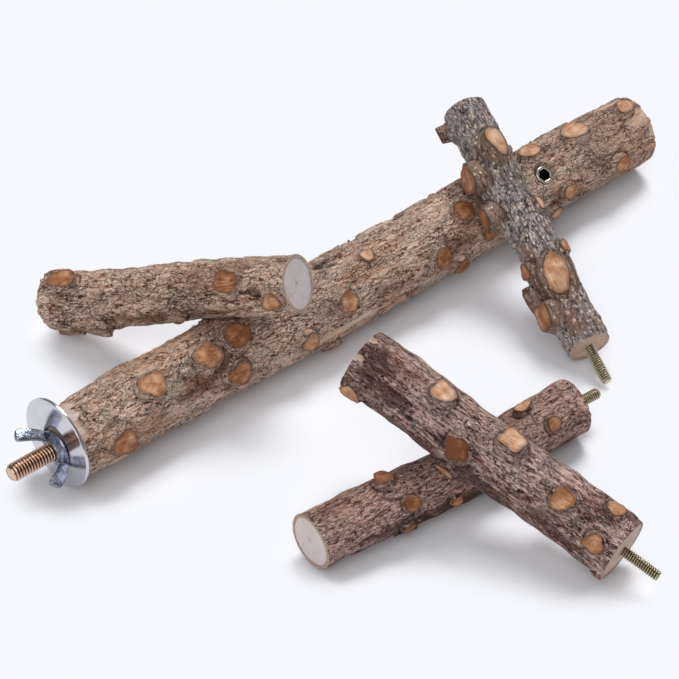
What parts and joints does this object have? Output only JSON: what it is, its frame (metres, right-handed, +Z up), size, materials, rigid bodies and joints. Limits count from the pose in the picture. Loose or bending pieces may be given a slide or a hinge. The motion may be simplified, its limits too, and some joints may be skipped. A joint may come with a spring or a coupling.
{
  "type": "bird perch",
  "caption": "Take-apart natural wood perch: a bark-covered trunk with a cage bolt, washer and wing nut, and loose side perches that screw into inserts in the trunk.",
  "frame": {"origin": "centre of the trunk's bolt seat, where the washer bears on the sawn end", "axes": "+X along the trunk away from the bolt, +Z up from the floor the pieces lie on, +Y away from the picture's camera"},
  "size_m": [0.3525, 0.297, 0.0714],
  "materials": {
    "trunk_bark": "rough scaly bark",
    "perch_1_bark": "rough scaly bark",
    "perch_2_bark": "dark ridged bark",
    "perch_3_bark": "furrowed bark",
    "perch_4_bark": "reddish speckled bark",
    "sawn_wood": "sawn",
    "stub_wood": "sawn twig",
    "yellow_zinc": "yellow zinc",
    "bolt_zinc": "yellow zinc",
    "washer_steel": "bright plated",
    "nut_zinc": "clear zinc",
    "insert_steel": "zinc"
  },
  "bodies": {
    "trunk": {"trunk_wood": "sawn_wood", "trunk_bark": "trunk_bark", "trunk_stubs": "stub_wood", "cage_bolt": "bolt_zinc", "insert_1": "insert_steel", "insert_2": "insert_steel", "insert_3": "insert_steel", "insert_4": "insert_steel"},
    "washer": {"clamp_washer": "washer_steel"},
    "wing_nut": {"wing_nut": "nut_zinc"},
    "perch_1": {"perch_1_wood": "sawn_wood", "perch_1_bark": "perch_1_bark", "perch_1_stubs": "stub_wood"},
    "perch_2": {"perch_2_wood": "sawn_wood", "perch_2_bark": "perch_2_bark", "perch_2_stubs": "stub_wood", "perch_2_stud": "yellow_zinc"},
    "perch_3": {"perch_3_wood": "sawn_wood", "perch_3_bark": "perch_3_bark", "perch_3_stubs": "stub_wood", "perch_3_stud": "yellow_zinc"},
    "perch_4": {"perch_4_wood": "sawn_wood", "perch_4_bark": "perch_4_bark", "perch_4_stubs": "stub_wood", "perch_4_stud": "yellow_zinc"}
  },
  "joints": [
    {"name": "washer_slide", "type": "slide", "parent": "trunk", "child": "washer", "axis": [-1, 0, 0], "range_m": [0, 0.0141]},
    {"name": "nut_spin", "type": "hinge", "parent": "washer", "child": "wing_nut", "pos_m": [0, 0, 0], "axis": [-1, 0, 0], "range_deg": [0, 3600]},
    {"name": "perch_1_lift", "type": "slide", "parent": "trunk", "child": "perch_1", "axis": [0, 0, 1], "range_m": [0, 0.1]},
    {"name": "perch_2_lift", "type": "slide", "parent": "trunk", "child": "perch_2", "axis": [0, 0, 1], "range_m": [0, 0.1]},
    {"name": "perch_4_lift", "type": "slide", "parent": "trunk", "child": "perch_4", "axis": [0, 0, 1], "range_m": [0, 0.1]},
    {"name": "perch_3_lift", "type": "slide", "parent": "perch_4", "child": "perch_3", "axis": [0, 0, 1], "range_m": [0, 0.1]}
  ],
  "couplings": [
    {"joint": "nut_spin", "follows": "washer_slide", "rad_per_m": 4453}
  ]
}
